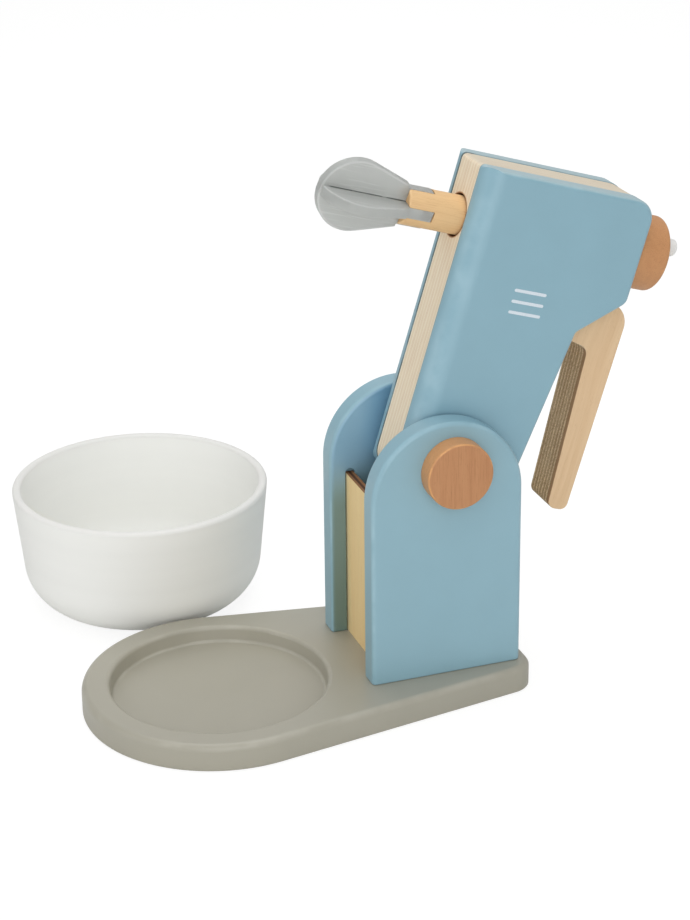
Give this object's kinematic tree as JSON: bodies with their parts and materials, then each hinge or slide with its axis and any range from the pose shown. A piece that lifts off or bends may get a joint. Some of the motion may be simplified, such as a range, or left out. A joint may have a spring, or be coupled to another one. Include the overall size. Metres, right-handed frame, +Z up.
{
  "type": "toy stand mixer",
  "caption": "Wooden toy stand mixer: a laminated head tilts on a forked stand, a knob turns its translucent beater, and a loose white bowl stands beside the base.",
  "frame": {"origin": "on the underside of the base board, straight below the centre of the round bowl recess", "axes": "+Z up; +X from the round front end to the rear, where the handle is; the XZ plane is the toy's middle plane; the near cheek is at -Y and the bowl stands at +Y"},
  "size_m": [0.2992, 0.2549, 0.2608],
  "materials": {
    "grey_paint": "satin paint",
    "blue_paint": "satin paint",
    "thin_plywood": "clear matt",
    "plywood": "clear matt",
    "beech_dowel": "clear matt",
    "dyed_wood": "stained, clear matt",
    "zinc_steel": "zinc plated",
    "nylon": "moulded",
    "smoke_plastic": "translucent, moulded",
    "grey_plastic": "moulded",
    "white_plastic": "moulded, semi-gloss"
  },
  "bodies": {
    "stand": {"base_board": "grey_paint", "cheek_near": "blue_paint", "cheek_far": "blue_paint", "front_panel": "thin_plywood", "rear_panel": "thin_plywood", "base_screws": "zinc_steel", "pivot_axle": "beech_dowel", "pivot_knob_near": "dyed_wood", "pivot_knob_far": "dyed_wood", "pivot_washers": "nylon"},
    "head": {"head_core": "plywood", "head_plate_near": "blue_paint", "head_plate_far": "blue_paint", "head_dowels": "beech_dowel", "spindle_washers": "nylon"},
    "beater": {"spindle": "beech_dowel", "beater_blade_a": "smoke_plastic", "beater_blade_b": "smoke_plastic", "beater_knob": "dyed_wood", "crank_peg": "grey_plastic"},
    "bowl": {"bowl": "white_plastic"}
  },
  "joints": [
    {"name": "head_tilt", "type": "hinge", "parent": "stand", "child": "head", "pos_m": [0.105, 0, 0.1174], "axis": [0, -1, 0], "range_deg": [0, 110]},
    {"name": "beater_spin", "type": "hinge", "parent": "head", "child": "beater", "pos_m": [0.13719, 0, 0.22269], "axis": [-0.9563, 0, 0.2924], "continuous": true},
    {"name": "bowl_lift", "type": "slide", "parent": "stand", "child": "bowl", "axis": [0, 0, 1], "range_m": [0, 0.12]}
  ]
}
